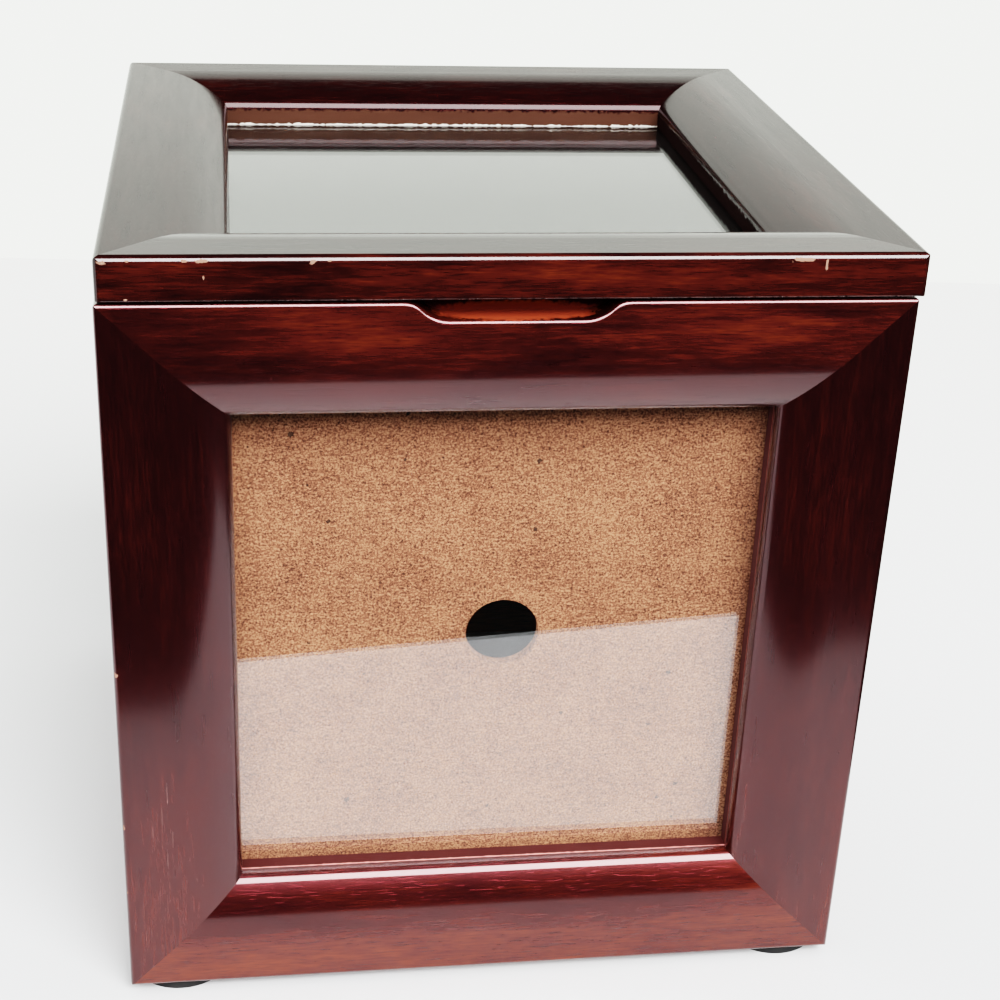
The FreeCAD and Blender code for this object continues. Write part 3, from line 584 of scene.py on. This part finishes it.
hinge_brass = worn_brass("hinge brass", (0, 0, 0))
for side in ("left", "right"):
    for part in ("body_leaf", "lid_leaf", "pin"):
        nodes[f"{side}_hinge_{part}"].material_slots[0].material = hinge_brass
bpy.ops.object.select_all(action="DESELECT")
bpy.ops.mesh.primitive_cylinder_add(vertices=24, radius=HEAD_RADIUS, depth=HEAD_DEPTH,
                                    location=(0, 0, -HEAD_DEPTH / 2))
screw = bpy.context.object
bpy.ops.object.transform_apply(location=True, rotation=False, scale=False)
pick_faces(screw, lambda centre, normal: normal.z < -0.9)
narrow_to(SHANK_RADIUS / HEAD_RADIUS, -HEAD_DEPTH)
draw_out(SCREW_LENGTH - POINT_LENGTH - HEAD_DEPTH)
draw_out(POINT_LENGTH)
narrow_to(POINT_SHARE, -SCREW_LENGTH)
for edge in (-SLOT_WIDTH / 2, SLOT_WIDTH / 2):
    bpy.ops.mesh.select_all(action="SELECT")
    bpy.ops.mesh.bisect(plane_co=(0, edge, 0), plane_no=(0, 1, 0))
pick_faces(screw, lambda centre, normal: normal.z > 0.9 and abs(centre.y) < SLOT_WIDTH / 2 - SAME_PLACE)
draw_out(SLOT_DEPTH)
bpy.ops.mesh.select_all(action="SELECT")
bpy.ops.mesh.remove_doubles(threshold=SAME_PLACE)
bpy.ops.mesh.normals_make_consistent(inside=False)
bpy.ops.object.mode_set(mode="OBJECT")
bpy.ops.object.shade_smooth_by_angle(angle=math.radians(35))
screw.data.materials.append(worn_brass("screw brass", (7.7, 2.6, 1.9)))
for body, top in SCREW_TOP.items():
    for number, (x, y) in enumerate(SCREW_PLACES, start=1):
        copy = bpy.data.objects.new(f"hinge_screw_{body}_{number}", screw.data.copy())
        bpy.context.scene.collection.objects.link(copy)
        flip = Matrix.Rotation(math.pi, 4, "X") if body == "lid" else Matrix.Identity(4)
        turn = Matrix.Rotation(math.radians(37 * number + 11 * len(body)), 4, "Z")
        copy.data.transform(Matrix.Translation((x * MM, y * MM, top)) @ flip @ turn)
        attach(copy, body)
bpy.data.objects.remove(screw)

# Turn buttons: two brass strips under the lid that swing out over its board, each on one round-head screw.
# Pressed from thin sheet with round ends; the same bare brass as the hinges, from another batch.
button_brass = worn_brass("button brass", (4.4, 1.2, 3.1))
for piece in ("lid_left_turn_button", "lid_right_turn_button", "turn_button_screws"):
    nodes[piece].material_slots[0].material = button_brass

# Table and wall: a white table top, turned a little, with a bright white wall well behind it that glows by
# itself as painted light, brighter and dimmer in bands with height.
# They only give the box a pale ground and pale reflections, and aren't part of it.
# A dark sheet that only reflections see stands for the dim floor beyond the table's front edge.
TABLE_NEAR, TABLE_FAR = (0.835, 0.855, 0.885), (0.775, 0.785, 0.755)
FLOOR_NEAR, FLOOR_FAR = (0.015, 0.015, 0.014), (0.014, 0.014, 0.013)
# The wall's painted light: its glow colour, and its strength at each height.
WALL_GLOW_COLOUR = (0.985, 1.03, 0.940)
WALL_GLOW = ((0.03, 2.35), (0.22, 1.60), (0.36, 1.84), (0.43, 1.54), (0.54, 1.76))
WALL_BACK, WALL_FOOT, WALL_HEAD, WALL_SIDE = 0.95, -0.4, 0.85, 2.5
TABLE_OUTLINE = ((-4, -5), (4, -5), (4, -0.020), (-4, 0.760))
FLOOR_OUTLINE = ((-4, 0.294), (-4, -5), (4, -5), (4, 0.3), (0.150, 0.3), (0.132, -0.196))
FLOOR_ABOVE_TABLE = 0.6 * MM


def plain_white(name, near, far):
    """A dull paint that changes evenly from a near colour to a far one."""
    material, tree, shader, place = start_material(name)
    faint = ranged(tree, cloudy(tree, evenly(tree, place, 3), 2), -0.05, 0.05)
    depth = reckon(tree, "ADD", between(tree, split_axes(tree, place)[1], -0.35, 0.45), faint)
    feed(tree, graded(tree, depth, (0.1, near), (0.9, far)), shader.inputs["Base Color"])
    shader.inputs["Roughness"].default_value = 0.9
    shader.inputs["Specular IOR Level"].default_value = 0
    return material


def lit_card(name, colour, *heights):
    """A card that glows by itself, brighter or dimmer with height."""
    material, tree, shader, place = start_material(name)
    shader.inputs["Base Color"].default_value = (0, 0, 0, 1)
    shader.inputs["Specular IOR Level"].default_value = 0
    shader.inputs["Emission Color"].default_value = (*colour, 1)
    stops = [(height, (glow, glow, glow)) for height, glow in heights]
    feed(tree, graded(tree, split_axes(tree, place)[2], *stops), shader.inputs["Emission Strength"])
    return material


def flat_sheet(name, corners, material):
    mesh = bpy.data.meshes.new(name)
    mesh.from_pydata(corners, [], [tuple(range(len(corners)))])
    sheet = bpy.data.objects.new(name, mesh)
    bpy.context.scene.collection.objects.link(sheet)
    mesh.materials.append(material)
    return sheet


flat_sheet("table", [(x, y, 0) for x, y in TABLE_OUTLINE], plain_white("table white", TABLE_NEAR, TABLE_FAR))
wall_corners = [(-WALL_SIDE, WALL_BACK, WALL_FOOT), (WALL_SIDE, WALL_BACK, WALL_FOOT),
                (WALL_SIDE, WALL_BACK, WALL_HEAD), (-WALL_SIDE, WALL_BACK, WALL_HEAD)]
flat_sheet("wall", wall_corners, lit_card("wall glow", WALL_GLOW_COLOUR, *WALL_GLOW))
dark = flat_sheet("dark floor beyond the table", [(x, y, FLOOR_ABOVE_TABLE) for x, y in FLOOR_OUTLINE],
                  plain_white("dark floor", FLOOR_NEAR, FLOOR_FAR))
dark.visible_camera = False
dark.visible_diffuse = False
dark.visible_shadow = False

# Light: one broad soft window high at the front and a little to the right, with a pale ceiling in a dim room.
# The window's glow also stands as a card that only reflections see, so the lacquer and brass catch it.
WINDOW_CORNERS = [(-1.1, -1.45, 0.72), (1.6, -1.20, 0.72), (1.1, -0.55, 1.55), (-0.7, -0.75, 1.55)]
WINDOW_WHITE = (1.0, 1.0, 1.0)
WINDOW_GLOW = ((0.7, 34.0), (1.0, 36.0))
ROOM_GREY = (0.05, 0.05, 0.052, 1)


def soft_sun(name, strength, spread, height, turn):
    """A sun that reflections don't show, with its height and its turn from the front in degrees."""
    sun = bpy.data.objects.new(name, bpy.data.lights.new(name, "SUN"))
    sun.data.energy = strength
    sun.data.angle = math.radians(spread)
    up, round_z = math.radians(height), math.radians(turn)
    level = math.cos(up)
    towards = Vector((level * math.sin(round_z), -level * math.cos(round_z), math.sin(up)))
    sun.rotation_mode = "QUATERNION"
    sun.rotation_quaternion = (-towards).to_track_quat("-Z", "Y")
    sun.visible_glossy = False
    sun.visible_transmission = False
    bpy.context.scene.collection.objects.link(sun)


soft_sun("window", strength=5.6, spread=36, height=44, turn=26)
soft_sun("ceiling", strength=3.6, spread=120, height=88, turn=0)
window = flat_sheet("window card", WINDOW_CORNERS, lit_card("window glow", WINDOW_WHITE, *WINDOW_GLOW))
window.visible_camera = False
window.visible_diffuse = False
window.visible_shadow = False
window.visible_transmission = False
room = bpy.data.worlds.new("room")
room.use_nodes = True
room.node_tree.nodes["Background"].inputs["Color"].default_value = ROOM_GREY
room.node_tree.nodes["Background"].inputs["Strength"].default_value = 1
bpy.context.scene.world = room

# Camera: where the photograph was taken from, worked out from the box's own edges.
# It stands in front, left of the box's middle and above the lid, and looks down about 26 degrees.
CAMERA_PLACE = (-0.046924, -0.359366, 0.245435)
CAMERA_RIGHT = Vector((0.99004, -0.13492, 0.04033))
CAMERA_DOWN = Vector((-0.02236, -0.43339, -0.90093))
CAMERA_FORWARD = Vector((0.13903, 0.89105, -0.43209))
camera = bpy.data.objects.new("camera", bpy.data.cameras.new("camera"))
camera.data.lens = 66.626
camera.data.sensor_width = 36
camera.data.clip_start = 0.01
camera.data.clip_end = 50
bpy.context.scene.collection.objects.link(camera)
facing = Matrix((CAMERA_RIGHT, -CAMERA_DOWN, -CAMERA_FORWARD)).transposed().to_4x4()
camera.matrix_world = Matrix.Translation(CAMERA_PLACE) @ facing
bpy.context.scene.camera = camera
bpy.context.scene.view_settings.view_transform = "Filmic"
bpy.context.scene.view_settings.look = "High Contrast"
